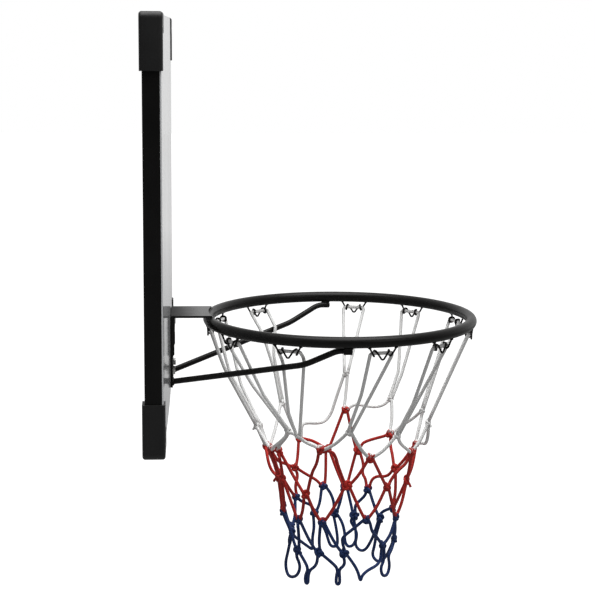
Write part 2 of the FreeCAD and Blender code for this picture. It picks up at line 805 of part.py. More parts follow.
def end_loops(knots_above, tips):
    knot_size, cord_size = sizes.net_colour_knot, sizes.net_colour_cord
    loops = []
    for number, tip in enumerate(tips):
        one, two = knots_above[number], knots_above[(number + 1) % len(knots_above)]
        ends = [cord_end(knot, knot_size, side, cord_size, tip) for knot, side in ((one, -1), (two, 1))]
        path = bent_path([ends[0], tip, ends[1]], sizes.net_end_bend)
        loops.append(tube_along(path, cord_size / 2))
    return loops


def check():
    doc.recompute()
    for piece in doc.Objects:
        if "Invalid" in piece.State or "Error" in piece.State:
            raise RuntimeError(f"{piece.Name} failed: {piece.State}")
    for node in nodes:
        if node.Shape.isNull() or not node.Shape.isValid() or not node.Shape.Solids:
            raise RuntimeError(f"{node.Label} has no sound shape")


def export():
    os.makedirs("parts", exist_ok=True)
    for node in nodes:
        node.Shape.exportStep(f"parts/{node.Label}.step")
        volume = sum(solid.Volume for solid in node.Shape.Solids)
        print(f"{node.Label}: {len(node.Shape.Solids)} solids, {volume:.0f} mm3")


make_frame()
make_caps()
make_sleeves()
make_panel()
make_panel_screws()
make_uprights()
make_rim_fasteners()
make_bracket()
rim = make_ring()
make_strut("strut_right", 1)
make_strut("strut_left", -1)
make_hooks(rim)
make_net()
check()
export()
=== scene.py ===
import math

import bpy
from mathutils import Matrix, Quaternion, Vector


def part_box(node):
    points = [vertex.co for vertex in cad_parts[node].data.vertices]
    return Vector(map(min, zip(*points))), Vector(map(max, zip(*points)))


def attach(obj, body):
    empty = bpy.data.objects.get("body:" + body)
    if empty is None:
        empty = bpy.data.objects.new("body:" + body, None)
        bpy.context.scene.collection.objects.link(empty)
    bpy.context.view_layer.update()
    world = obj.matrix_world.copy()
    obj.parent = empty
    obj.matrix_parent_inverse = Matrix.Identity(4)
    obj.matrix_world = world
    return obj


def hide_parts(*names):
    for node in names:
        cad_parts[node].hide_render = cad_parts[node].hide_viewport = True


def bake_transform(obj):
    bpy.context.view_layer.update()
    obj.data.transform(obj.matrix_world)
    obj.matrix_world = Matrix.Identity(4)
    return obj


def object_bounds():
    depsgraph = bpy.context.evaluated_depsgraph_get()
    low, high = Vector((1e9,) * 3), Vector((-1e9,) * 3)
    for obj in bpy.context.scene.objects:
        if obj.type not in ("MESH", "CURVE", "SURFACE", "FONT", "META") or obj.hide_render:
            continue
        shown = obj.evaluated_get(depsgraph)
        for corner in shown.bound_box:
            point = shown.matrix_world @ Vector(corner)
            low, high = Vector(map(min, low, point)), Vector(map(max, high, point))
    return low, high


bl_info = {
    "name": "Basketball backboard finish",
    "version": (1, 0, 0),
    "blender": (4, 5, 0),
    "location": "3D View > Sidebar > Backboard",
    "description": "Finishes a wall-hung backboard, welds its rim and hangs its cord net",
    "category": "Object",
}

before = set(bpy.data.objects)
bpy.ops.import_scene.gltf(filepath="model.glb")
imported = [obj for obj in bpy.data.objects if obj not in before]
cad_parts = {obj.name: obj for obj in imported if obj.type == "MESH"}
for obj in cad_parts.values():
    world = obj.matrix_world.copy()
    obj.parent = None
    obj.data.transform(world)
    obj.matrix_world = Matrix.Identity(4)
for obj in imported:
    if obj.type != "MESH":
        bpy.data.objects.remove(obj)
CAD_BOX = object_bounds()

RING_LOW, RING_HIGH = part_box("rim_ring")
RING_CENTRE = (RING_LOW + RING_HIGH) / 2
BRACKET_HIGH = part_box("rim_bracket")[1]
RING_BAR = RING_HIGH.z - RING_LOW.z
RING_MID = (RING_HIGH.x - RING_LOW.x - RING_BAR) / 2
DOWN = Vector((0, 0, -1))

# Angles of the wire hooks round the ring, in degrees from straight out of the board
HOOKS = (180, 156, 126.5, 78, 49, 18, -12.5, -47.5, -77.5, -116.5, -147.5)

# Knots of the net: angle round the ring's axis, reach from that axis, drop below the ring's middle. Each
# one hangs from the knot of its own number in the row above and from the next.
KNOTS = {
    "white": (
        (180, 0.137, 0.182),
        (160, 0.137, 0.193),
        (130, 0.138, 0.168),
        (80, 0.148, 0.126),
        (47, 0.146, 0.163),
        (12, 0.148, 0.166),
        (-10, 0.149, 0.172),
        (-52, 0.138, 0.173),
        (-88, 0.138, 0.160),
        (-123, 0.138, 0.170),
        (-134, 0.130, 0.166),
    ),
    "upper_red": (
        (172, 0.122, 0.219),
        (163, 0.119, 0.227),
        (119, 0.118, 0.231),
        (79, 0.118, 0.183),
        (36, 0.118, 0.216),
        (4, 0.132, 0.218),
        (-26, 0.128, 0.214),
        (-69, 0.118, 0.209),
        (-109, 0.118, 0.195),
        (-150, 0.118, 0.210),
        (-162, 0.120, 0.213),
    ),
    "lower_red": (
        (155, 0.106, 0.276),
        (130, 0.105, 0.276),
        (95, 0.106, 0.250),
        (66, 0.107, 0.252),
        (19, 0.106, 0.267),
        (-9, 0.115, 0.273),
        (-45, 0.105, 0.267),
        (-87, 0.105, 0.256),
        (-125, 0.105, 0.276),
        (-154, 0.107, 0.260),
        (-168, 0.103, 0.264),
    ),
    "upper_blue": (
        (133, 0.096, 0.325),
        (100, 0.096, 0.314),
        (77, 0.096, 0.315),
        (52, 0.096, 0.315),
        (10, 0.097, 0.332),
        (-18, 0.100, 0.332),
        (-66, 0.096, 0.318),
        (-110, 0.096, 0.321),
        (-137, 0.096, 0.324),
        (-164, 0.097, 0.323),
        (-194, 0.093, 0.326),
    ),
    "lower_blue": (
        (112, 0.088, 0.358),
        (88, 0.088, 0.361),
        (65, 0.088, 0.363),
        (30, 0.090, 0.358),
        (-4, 0.096, 0.379),
        (-38, 0.090, 0.372),
        (-88, 0.088, 0.375),
        (-115, 0.088, 0.377),
        (-143, 0.088, 0.382),
        (-166, 0.080, 0.359),
        (-211, 0.087, 0.370),
    ),
}

# Where a slack cord wanders between its upper and its lower knot, placed as the knots are
SLACK = {
    ("white", 3, 2): (
        (87, 0.144, 0.172),
        (90, 0.139, 0.196),
        (95, 0.134, 0.209),
        (102, 0.129, 0.210),
        (111, 0.124, 0.206),
        (118, 0.119, 0.207),
    ),
    ("white", 4, 3): (
        (48, 0.145, 0.166),
        (51, 0.140, 0.174),
        (56, 0.135, 0.178),
        (61, 0.129, 0.177),
        (68, 0.124, 0.174),
        (72, 0.119, 0.173),
    ),
    ("white", 5, 4): ((17, 0.147, 0.174), (24, 0.143, 0.188), (31, 0.131, 0.202)),
    ("white", 5, 5): ((12, 0.147, 0.175), (8, 0.140, 0.192)),
    ("white", 6, 5): ((-10, 0.150, 0.182), (-7, 0.149, 0.200), (-4, 0.146, 0.214), (0, 0.139, 0.213)),
    ("white", 7, 6): ((-50, 0.136, 0.181), (-46, 0.133, 0.190), (-38, 0.129, 0.201)),
    ("white", 9, 8): ((-121, 0.136, 0.176), (-117, 0.128, 0.184), (-112, 0.119, 0.190)),
    ("white", 9, 9): (
        (-131, 0.132, 0.167),
        (-136, 0.127, 0.176),
        (-142, 0.124, 0.188),
        (-149, 0.121, 0.201),
    ),
    ("white", 10, 9): ((-135, 0.127, 0.175), (-141, 0.124, 0.188), (-149, 0.121, 0.201)),
    ("white", 10, 10): ((-135, 0.128, 0.174), (-143, 0.125, 0.189), (-155, 0.122, 0.204)),
    ("upper_red", 0, 10): ((182, 0.119, 0.234), (184, 0.116, 0.248), (186, 0.110, 0.260)),
    ("upper_red", 1, 1): ((154, 0.116, 0.248), (149, 0.112, 0.260), (141, 0.107, 0.266)),
    ("upper_red", 2, 2): ((115, 0.116, 0.232), (106, 0.110, 0.237)),
    ("upper_red", 4, 3): ((41, 0.117, 0.221), (49, 0.114, 0.227), (58, 0.111, 0.234), (63, 0.108, 0.240)),
    ("upper_red", 4, 4): ((35, 0.117, 0.225), (32, 0.113, 0.237), (26, 0.109, 0.248)),
    ("upper_red", 6, 6): ((-28, 0.124, 0.231), (-37, 0.116, 0.241), (-42, 0.108, 0.256)),
    ("upper_red", 8, 8): ((-111, 0.116, 0.202), (-113, 0.112, 0.220), (-119, 0.108, 0.239)),
    ("upper_red", 8, 7): ((-100, 0.116, 0.196), (-97, 0.112, 0.208), (-95, 0.108, 0.225)),
    ("lower_red", 1, 1): ((125, 0.104, 0.282), (116, 0.101, 0.293), (105, 0.098, 0.305)),
    ("lower_red", 1, 0): ((128, 0.104, 0.283), (128, 0.101, 0.293), (134, 0.098, 0.310)),
    ("lower_red", 3, 3): ((63, 0.106, 0.258), (59, 0.103, 0.276), (60, 0.100, 0.290), (54, 0.097, 0.300)),
    ("lower_red", 4, 3): ((27, 0.105, 0.282), (34, 0.102, 0.288), (43, 0.100, 0.290), (49, 0.097, 0.299)),
    ("upper_blue", 0, 0): ((130, 0.095, 0.332), (121, 0.092, 0.340), (114, 0.090, 0.345)),
    ("upper_blue", 1, 1): ((95, 0.095, 0.320), (91, 0.092, 0.331), (88, 0.089, 0.348)),
    ("upper_blue", 3, 2): ((53, 0.095, 0.324), (60, 0.092, 0.337), (66, 0.089, 0.347)),
    ("upper_blue", 4, 3): ((17, 0.097, 0.336), (29, 0.094, 0.346), (32, 0.091, 0.354)),
    ("upper_blue", 6, 5): ((-61, 0.095, 0.325), (-58, 0.093, 0.342), (-48, 0.091, 0.357)),
    ("upper_blue", 6, 6): (
        (-71, 0.095, 0.322),
        (-75, 0.093, 0.328),
        (-82, 0.092, 0.337),
        (-88, 0.090, 0.345),
        (-91, 0.089, 0.354),
    ),
}

# The blue end loops, from each lower knot round to the next
END_LOOPS = (
    (
        (105, 0.087, 0.374),
        (98, 0.087, 0.393),
        (95, 0.087, 0.410),
        (92, 0.086, 0.421),
        (85, 0.086, 0.421),
        (84, 0.086, 0.410),
        (86, 0.086, 0.386),
    ),
    (
        (80, 0.087, 0.373),
        (76, 0.087, 0.395),
        (76, 0.087, 0.412),
        (72, 0.086, 0.421),
        (65, 0.086, 0.417),
        (61, 0.086, 0.398),
    ),
    (
        (71, 0.087, 0.371),
        (65, 0.087, 0.384),
        (61, 0.087, 0.396),
        (64, 0.087, 0.416),
        (58, 0.088, 0.426),
        (50, 0.088, 0.422),
        (41, 0.088, 0.398),
        (35, 0.088, 0.376),
    ),
    (
        (35, 0.089, 0.383),
        (38, 0.089, 0.410),
        (42, 0.089, 0.429),
        (33, 0.088, 0.437),
        (22, 0.088, 0.430),
        (0, 0.088, 0.405),
    ),
    (
        (-12, 0.093, 0.392),
        (-22, 0.089, 0.399),
        (-14, 0.090, 0.420),
        (-20, 0.088, 0.434),
        (-33, 0.086, 0.430),
        (-37, 0.085, 0.414),
        (-27, 0.086, 0.402),
    ),
    (
        (-37, 0.086, 0.386),
        (-38, 0.086, 0.399),
        (-44, 0.085, 0.407),
        (-58, 0.085, 0.410),
        (-66, 0.085, 0.417),
        (-68, 0.085, 0.428),
        (-71, 0.084, 0.409),
        (-78, 0.084, 0.392),
    ),
    (
        (-87, 0.085, 0.386),
        (-87, 0.085, 0.397),
        (-93, 0.085, 0.404),
        (-92, 0.085, 0.417),
        (-92, 0.085, 0.429),
        (-96, 0.085, 0.429),
        (-96, 0.085, 0.417),
        (-94, 0.085, 0.403),
        (-101, 0.085, 0.392),
    ),
    (
        (-117, 0.085, 0.390),
        (-120, 0.085, 0.402),
        (-127, 0.085, 0.410),
        (-129, 0.085, 0.421),
        (-129, 0.085, 0.434),
        (-133, 0.085, 0.434),
        (-133, 0.085, 0.421),
        (-129, 0.085, 0.409),
        (-134, 0.085, 0.397),
    ),
    (
        (-147, 0.086, 0.394),
        (-143, 0.085, 0.401),
        (-141, 0.085, 0.412),
        (-147, 0.084, 0.427),
        (-160, 0.084, 0.436),
        (-172, 0.086, 0.436),
        (-177, 0.088, 0.419),
        (-172, 0.085, 0.398),
        (-166, 0.083, 0.374),
    ),
    (
        (-175, 0.082, 0.375),
        (-182, 0.081, 0.386),
        (-192, 0.081, 0.394),
        (-202, 0.083, 0.389),
        (-208, 0.086, 0.380),
    ),
    (
        (-211, 0.087, 0.384),
        (-228, 0.087, 0.403),
        (-243, 0.087, 0.421),
        (-246, 0.086, 0.423),
        (-245, 0.086, 0.402),
        (-248, 0.086, 0.380),
    ),
)

# A net loop through its hook's eyes, and where a slack one or one beside a strut bends, on either side of
# the hook: along the ring, in from its middle line, below it
LOOP_IN_EYES = ((0.009, 0.0033, 0.018), (0.0185, 0.0033, 0.018))
LOOP_BENDS = {
    180: (((0.013, 0.024, 0.082),), ((0.013, 0.0245, 0.079),)),
    156: (((0.007, 0.036, 0.126),), ((0.016, 0.0245, 0.101),)),
    126.5: (
        ((0.0125, 0.034, 0.043), (-0.0055, 0.051, 0.086)),
        ((0.016, 0.033, 0.050), (0.010, 0.060, 0.115)),
    ),
    49: (((0.014, 0.048, 0.120),), ((-0.003, 0.042, 0.117),)),
    18: (((0.016, 0.037, 0.077),), ()),
    -47.5: (((0.011, 0.046, 0.114),), ()),
    -77.5: (((0.019, 0.041, 0.089),), ()),
    -116.5: (((0.025, 0.038, 0.043), (0.026, 0.063, 0.129)), ((0.013, 0.033, 0.034),)),
    -147.5: (((-0.002, 0.039, 0.090),), ((0.0195, 0.048, 0.103),)),
}

# Share of a run by which a loop has straightened
LOOP_STRAIGHTENS = 0.12

# Cords with no slack of their own: how far they drift sideways, and where they are pulled down
CORD_DRIFT = 0.006
SAG_SHARES = (0.35, 0.7)

# A knot's wrap: turns, lobes, steps, then its lobes' share of the spread, its depth in cords and its tilt
KNOT_TURNS, KNOT_LOBES, KNOT_STEPS = 2, 3, 23
KNOT_LOBE, KNOT_DEPTH, KNOT_TILT = 0.4, 0.55, 0.7

WHITE_KNOT_SQUEEZE = 0.85

# Cut ends: which knots leave one, its thickness in cords, how far it leans out and down, and in knot widths
# its reach, its hang and its overhang
TAIL_FROM, TAIL_THINNER = 0.85, 0.8
TAIL_OUT, TAIL_DOWN = 0.6, 0.5
TAIL_REACH, TAIL_HANG, TAIL_OVERHANG = 0.5, 0.25, 0.1

# Sizes of the knots and of a weld's ripples: the least, and how much more they may have
KNOT_SIZES = (0.92, 0.2)
RIPPLE_SIZES = (0.85, 0.3)

# Two odd numbers that scatter those sizes and the cords' shades
SCATTER_TURN, SCATTER_SPREAD = 12.9898, 43758.5453

# Seams of the rim: where a strut meets the bracket and how far round that its ripples lie, then the seams
# on the ring, placed as the loops' points are
STRUT_FOOT = (0.0373, 0.0455, -0.2815)
STRUT_FOOT_REACH = (0.0066, 0.0056)
STRUT_FOOT_RIPPLES = 14
NECK_SEAMS = ((0.0013, -0.0086), (-0.005, -0.0081))
STRUT_SEAMS = ((0.005, 0.0083), (-0.003, 0.009))
STRUT_SEAM_LENGTH = 0.0125
LEG_WELDS = (
    (0.02, -0.0017, 0.0094),
    (0.023, -0.0017, 0.0088),
    (0.0215, -0.0033, 0.0088),
    (0.0215, 0, 0.0094),
)
WELD_VOXEL = 0.0005

# The bracket's coat is duller by the board than by the ring: from where to where, and the roughness added
WEAR_REACH = (0.036, 0.085)
BRACKET_WEAR = (0.28, -0.14)

DUST = (0.3, 0.29, 0.27, 1.0)
WHITE = (1.0, 1.0, 1.0, 1.0)

# Stage: the floor's size, tone and brightness to the camera, and the soft boxes' places and sizes
FLOOR_SIZE = 60
FLOOR_TONE = (0.4, 0.4, 0.4, 1.0)
FLOOR_SHOWN = 0.95
TOP_LIGHT = ((0.5, -0.3, 2.6), 2.6)
SIDE_LIGHT = ((2.2, -2.6, 1.6), 1.8)

# What gloss mirrors of the floor behind the board, of the room's far side and of its ceiling: from where
# to where, and how bright at either end
FLOOR_GLOW = (3.0, 14.0, 0.05, 0.5)
BACK_GLOW = (-0.6, 0.6, 0.04, 0.75)
CEILING_GLOW = (0.1, 0.9, 0.0, 0.4)

# The soft sky: from where to where it brightens, and its share of full power at the foot
SKY_RISE = (-0.5, 0.8)
SKY_FOOT = 0.2

# Camera: place, turn about the upright, tilt down, roll and lens, for a square picture
CAMERA_PLACE = (0.0723, -2.5735, 0.2732)
CAMERA_TURN, CAMERA_TILT, CAMERA_ROLL = (math.radians(a) for a in (3.754, 9.36, 0.39))
CAMERA_LENS = 96.2


class BackboardColours(bpy.types.PropertyGroup):
    """Colours of the finishes."""

    panel: bpy.props.FloatVectorProperty(
        name="Panel", description="Sheet of the board", subtype="COLOR", min=0, max=1,
        default=(0.62, 0.63, 0.64),
    )
    coat: bpy.props.FloatVectorProperty(
        name="Coat", description="Powder coat of frame and rim", subtype="COLOR", min=0, max=1,
        default=(0.0064, 0.0062, 0.006),
    )
    cap: bpy.props.FloatVectorProperty(
        name="Caps", description="Moulded corner caps", subtype="COLOR", min=0, max=1,
        default=(0.009, 0.009, 0.0092),
    )
    zinc: bpy.props.FloatVectorProperty(
        name="Zinc", description="Plated bolts, nuts and sleeves", subtype="COLOR", min=0, max=1,
        default=(0.62, 0.62, 0.6),
    )
    white: bpy.props.FloatVectorProperty(
        name="White cord", description="Upper part of the net", subtype="COLOR", min=0, max=1,
        default=(0.82, 0.82, 0.81),
    )
    red: bpy.props.FloatVectorProperty(
        name="Red cord", description="Middle of the net", subtype="COLOR", min=0, max=1,
        default=(0.47, 0.02, 0.014),
    )
    blue: bpy.props.FloatVectorProperty(
        name="Blue cord", description="Foot of the net", subtype="COLOR", min=0, max=1,
        default=(0.008, 0.03, 0.125),
    )


class BackboardSizes(bpy.types.PropertyGroup):
    """Sizes of the pieces added to the model."""

    white_cord: bpy.props.FloatProperty(
        name="White cord", description="Thickness of the white cord", unit="LENGTH", default=0.0056
    )
    colour_cord: bpy.props.FloatProperty(
        name="Coloured cord", description="Thickness of the red and blue cord", unit="LENGTH",
        default=0.0054,
    )
    white_knot: bpy.props.FloatProperty(
        name="White knot", description="Width of a white knot", unit="LENGTH", default=0.0135
    )
    colour_knot: bpy.props.FloatProperty(
        name="Coloured knot", description="Width of a red or blue knot", unit="LENGTH", default=0.0185
    )
    cord_sag: bpy.props.FloatProperty(
        name="Cord sag", description="How far a cord hangs below a straight line", unit="LENGTH",
        default=0.004,
    )
    weld_drop: bpy.props.FloatProperty(
        name="Weld drop", description="Radius of one ripple of a weld", unit="LENGTH", default=0.0016
    )
    weld_step: bpy.props.FloatProperty(
        name="Weld step", description="From one ripple of a weld to the next", unit="LENGTH", default=0.0021
    )


class BackboardStage(bpy.types.PropertyGroup):
    """The studio round the backboard."""

    floor_drop: bpy.props.FloatProperty(
        name="Floor drop", description="From the net's foot to the floor", unit="LENGTH", default=1.1
    )
    sky_power: bpy.props.FloatProperty(
        name="Sky", description="Soft light from overhead", default=0.55, min=0
    )
    top_power: bpy.props.FloatProperty(
        name="Top light", description="Soft box above the ring", unit="POWER", default=110, min=0
    )
    side_power: bpy.props.FloatProperty(
        name="Side light", description="Soft box beside the camera", unit="POWER", default=10, min=0
    )


# Shader nodes
def add_node(tree, kind, inputs=None, **settings):
    node = tree.nodes.new(f"ShaderNode{kind}")
    for name, setting in settings.items():
        setattr(node, name, setting)
    for key, value in (inputs or {}).items():
        if isinstance(value, bpy.types.NodeSocket):
            tree.links.new(value, node.inputs[key])
        else:
            node.inputs[key].default_value = value
    return node


def maths(tree, operation, *values):
    return add_node(tree, "Math", dict(enumerate(values)), operation=operation).outputs[0]


def remap(tree, value, from_low, from_high, to_low=0.0, to_high=1.0):
    limits = {"From Min": from_low, "From Max": from_high, "To Min": to_low, "To Max": to_high}
    return add_node(tree, "MapRange", {"Value": value, **limits}).outputs[0]


def mix_colours(tree, factor, one, two, way="MIX"):
    return add_node(tree, "Mix", {0: factor, 6: one, 7: two}, data_type="RGBA", blend_type=way).outputs[2]


def noise(tree, place, scale, detail):
    return add_node(tree, "TexNoise", {"Vector": place, "Scale": scale, "Detail": detail}).outputs[0]


def object_place(tree):
    return add_node(tree, "TexCoord").outputs["Object"]


def split(tree, vector):
    return add_node(tree, "SeparateXYZ", {0: vector}).outputs


def new_group(name, inputs, outputs):
    group = bpy.data.node_groups.new(name, "ShaderNodeTree")
    for label, default in inputs:
        socket = group.interface.new_socket(name=label, in_out="INPUT", socket_type="NodeSocketFloat")
        socket.default_value = default
    for label in outputs:
        group.interface.new_socket(name=label, in_out="OUTPUT", socket_type="NodeSocketFloat")
    return group, group.nodes.new("NodeGroupInput").outputs, group.nodes.new("NodeGroupOutput").inputs


def use_group(tree, name, inputs):
    return add_node(tree, "Group", inputs, node_tree=bpy.data.node_groups[name]).outputs


def make_grain_group():
    """Fine grain of a coat or a moulding, and slow patches in its gloss."""
    inputs = (("Grain", 1200.0), ("Patch", 14.0))
    group, given, result = new_group("Fine grain", inputs, ("Height", "Patches"))
    place = object_place(group)
    fine = noise(group, place, given["Grain"], 3.0)
    group.links.new(fine, result["Height"])
    slow = noise(group, place, given["Patch"], 4.0)
    group.links.new(remap(group, slow, 0.35, 0.68), result["Patches"])


def make_handling_group():
    """Dust that settles on upward faces, and rubbed smears."""
    inputs = (("Amount", 1.0), ("Smear", 9.0))
    group, given, result = new_group("Handling", inputs, ("Dust", "Smears"))
    place = object_place(group)
    normal = add_node(group, "NewGeometry").outputs["Normal"]
    settled = remap(group, split(group, normal)["Z"], 0.35, 1.0)
    specks = remap(group, noise(group, place, 420.0, 5.0), 0.42, 0.72)
    dust = maths(group, "MULTIPLY", maths(group, "MULTIPLY", settled, specks), given["Amount"])
    group.links.new(dust, result["Dust"])
    stretched = add_node(group, "Mapping", {"Vector": place, "Scale": (1.0, 1.0, 0.3)}).outputs[0]
    smears = remap(group, noise(group, stretched, given["Smear"], 6.0), 0.45, 0.7)
    group.links.new(maths(group, "MULTIPLY", smears, given["Amount"]), result["Smears"])


def make_braid_group():
    """Over-and-under plait of a cord, read from its own UV map."""
    inputs = (("Strands", 5.0), ("Slope", 0.62))
    group, given, result = new_group("Braid", inputs, ("Height", "Yarn"))
    unrolled = add_node(group, "UVMap", uv_map="cord").outputs[0]
    uv = split(group, unrolled)
    rise = maths(group, "MULTIPLY", uv["Y"], given["Slope"])
    waves = []
    for operation in ("ADD", "SUBTRACT"):
        turn = maths(group, "MULTIPLY", maths(group, operation, uv["X"], rise), given["Strands"])
        waves.append(maths(group, "SINE", maths(group, "MULTIPLY", turn, math.pi)))
    over = maths(group, "GREATER_THAN", maths(group, "MULTIPLY", *waves), 0.0)
    rounds = [maths(group, "POWER", maths(group, "ABSOLUTE", wave), 0.6) for wave in waves]
    first = maths(group, "MULTIPLY", rounds[0], maths(group, "MULTIPLY_ADD", rounds[1], 0.4, 0.5))
    second = maths(group, "MULTIPLY", rounds[1], maths(group, "MULTIPLY_ADD", rounds[0], 0.4, 0.5))
    blended = add_node(group, "Mix", {0: over, 2: first, 3: second}, data_type="FLOAT").outputs[0]
    group.links.new(blended, result["Height"])
    group.links.new(noise(group, unrolled, 60.0, 3.0), result["Yarn"])


def new_material(name, **uniform):
    """A Principled material, its tree and its shader, with the values that are the same all over."""
    material = bpy.data.materials.new(name)
    material.use_nodes = True
    tree = material.node_tree
    shader = tree.nodes["Principled BSDF"]
    for key, value in uniform.items():
        shader.inputs[key.replace("_", " ")].default_value = value
    return material, tree, shader


def feed(tree, shader, **sockets):
    for key, value in sockets.items():
        tree.links.new(value, shader.inputs[key.replace("_", " ")])


def bump(tree, height, depth):
    return add_node(tree, "Bump", {"Strength": 1.0, "Distance": depth, "Height": height}).outputs[0]


def tone(colour, factor):
    return (*(min(1.0, part * factor) for part in colour), 1.0)


def make_panel_sheet(colours):
    """Pale smooth sheet with a faint ripple and rubbed smears."""
    material, tree, shader = new_material("panel_sheet", IOR=1.56)
    ripple = use_group(tree, "Fine grain", {"Grain": 160.0, "Patch": 5.0})
    rubbed = use_group(tree, "Handling", {"Amount": 0.6, "Smear": 6.0})
    colour = mix_colours(tree, ripple["Patches"], tone(colours.panel, 1.0), tone(colours.panel, 0.965))
    dusted = maths(tree, "MULTIPLY", rubbed["Dust"], 0.2)
    colour = mix_colours(tree, dusted, colour, tone(colours.panel, 0.8))
    gloss = remap(tree, rubbed["Smears"], 0.0, 1.0, 0.07, 0.12)
    feed(tree, shader, Base_Color=colour, Roughness=gloss, Normal=bump(tree, ripple["Height"], 0.00004))
    return material


def make_black_coat(colours, name="black_coat", wear=None):
    """Black powder coat: pebbled, half gloss, a little dust on top, and its gloss worn over a reach."""
    material, tree, shader = new_material(name, Specular_IOR_Level=0.14)
    grain = use_group(tree, "Fine grain", {"Grain": 900.0, "Patch": 18.0})
    handled = use_group(tree, "Handling", {"Amount": 0.8, "Smear": 12.0})
    colour = mix_colours(tree, grain["Patches"], tone(colours.coat, 0.85), tone(colours.coat, 1.2))
    colour = mix_colours(tree, maths(tree, "MULTIPLY", handled["Dust"], 0.03), colour, DUST)
    gloss = maths(tree, "ADD", remap(tree, grain["Patches"], 0.0, 1.0, 0.24, 0.31),
                  maths(tree, "MULTIPLY", handled["Smears"], 0.06))
    if wear:
        outward = split(tree, object_place(tree))["X"]
        gloss = maths(tree, "ADD", gloss, remap(tree, outward, *WEAR_REACH, *wear))
    feed(tree, shader, Base_Color=colour, Roughness=gloss, Normal=bump(tree, grain["Height"], 0.00006))
    return material


def make_cap_plastic(colours):
    """Black moulded plastic with a fine leathery grain."""
    material, tree, shader = new_material("cap_plastic", Specular_IOR_Level=0.35)
    grain = use_group(tree, "Fine grain", {"Grain": 1500.0, "Patch": 25.0})
    handled = use_group(tree, "Handling", {"Amount": 1.0, "Smear": 20.0})
    colour = mix_colours(tree, grain["Patches"], tone(colours.cap, 0.85), tone(colours.cap, 1.15))
    colour = mix_colours(tree, maths(tree, "MULTIPLY", handled["Dust"], 0.06), colour, DUST)
    gloss = maths(tree, "ADD", remap(tree, grain["Patches"], 0.0, 1.0, 0.42, 0.5),
                  maths(tree, "MULTIPLY", handled["Smears"], 0.08))
    feed(tree, shader, Base_Color=colour, Roughness=gloss, Normal=bump(tree, grain["Height"], 0.00008))
    return material


def make_zinc_plate(colours):
    """Bright zinc plating with mottled crystals."""
    material, tree, shader = new_material("zinc_plate", Metallic=1.0)
    crystals = add_node(tree, "TexVoronoi", {"Vector": object_place(tree), "Scale": 700.0})
    speck = add_node(tree, "SeparateColor", {0: crystals.outputs["Color"]}).outputs[0]
    grain = use_group(tree, "Fine grain", {"Grain": 2500.0, "Patch": 120.0})
    colour = mix_colours(tree, speck, tone(colours.zinc, 0.82), tone(colours.zinc, 1.12))
    gloss = remap(tree, grain["Patches"], 0.0, 1.0, 0.26, 0.42)
    feed(tree, shader, Base_Color=colour, Roughness=gloss, Normal=bump(tree, grain["Height"], 0.00003))
    return material


def make_cord(name, colour, neighbour):
    """Braided cord with painted shade in its braid's valleys; at a change of dye, its knots take some of
    the neighbour's colour.
    """
    material, tree, shader = new_material(name, Specular_IOR_Level=0.3, Sheen_Weight=0.03)
    braid = use_group(tree, "Braid", {"Strands": 5.0, "Slope": 0.62})
    valley_shade_mask = remap(tree, braid["Height"], 0.0, 0.6)
    shade = add_node(tree, "Attribute", attribute_name="shade").outputs["Fac"]
    dye = add_node(tree, "Attribute", attribute_name="dye").outputs["Fac"]
    blotch = noise(tree, object_place(tree), 260.0, 2.0)
    tinted = mix_colours(tree, shade, tone(colour, 0.8), tone(colour, 1.1))
    dipped = remap(tree, maths(tree, "ADD", dye, blotch), 1.2, 1.32)
    tinted = mix_colours(tree, dipped, tinted, tone(neighbour, 1.0))
    # Painted shade: where the braid is low, its valleys take half the colour, as if in shadow
    painted_valley_shade = mix_colours(tree, 1.0, tinted, (0.5, 0.5, 0.5, 1.0), "MULTIPLY")
    plait_with_painted_shade = mix_colours(tree, valley_shade_mask, painted_valley_shade, tinted)
    fuzz = remap(tree, braid["Yarn"], 0.3, 0.7, 0.55, 0.8)
    height = maths(tree, "ADD", braid["Height"], maths(tree, "MULTIPLY", braid["Yarn"], 0.25))
    feed(tree, shader, Base_Color=plait_with_painted_shade, Roughness=fuzz, Normal=bump(tree, height, 0.0003))
    return material


def finish_of(name, maker, *values):
    return bpy.data.materials.get(name) or maker(*values)


def paint(node, material):
    """Gives a node of the model its finish."""
    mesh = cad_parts[node].data
    mesh.materials.clear()
    mesh.materials.append(material)


# Cords
def turned(angle):
    turn = math.radians(angle)
    return Vector((math.cos(turn), math.sin(turn), 0)), Vector((-math.sin(turn), math.cos(turn), 0))


def hung_at(angle, reach, drop):
    outward, _ = turned(angle)
    return RING_CENTRE + outward * reach + DOWN * drop


def by_hook(angle, along, inward, below):
    outward, tangent = turned(angle)
    return RING_CENTRE + outward * (RING_MID - inward) + tangent * along + DOWN * below


def beside(angle, reach, drop, side, thickness):
    """Centre of a cord that leaves a knot on one side of its middle."""
    _, tangent = turned(angle)
    return hung_at(angle, reach, drop) + tangent * (side * thickness / 2)


def smooth_line(route):
    """Points along the spline that has the route's points as control points."""
    curve = bpy.data.curves.new("route", "CURVE")
    curve.dimensions = "3D"
    spline = curve.splines.new("NURBS")
    spline.points.add(len(route) - 1)
    for point, place in zip(spline.points, route):
        point.co = (*place, 1.0)
    spline.order_u = 3
    spline.use_endpoint_u = True
    spline.resolution_u = 10
    holder = bpy.data.objects.new("route", curve)
    line = bpy.data.meshes.new_from_object(holder)
    places = [vertex.co.copy() for vertex in line.vertices]
    bpy.data.objects.remove(holder)
    bpy.data.curves.remove(curve)
    bpy.data.meshes.remove(line)
    return places


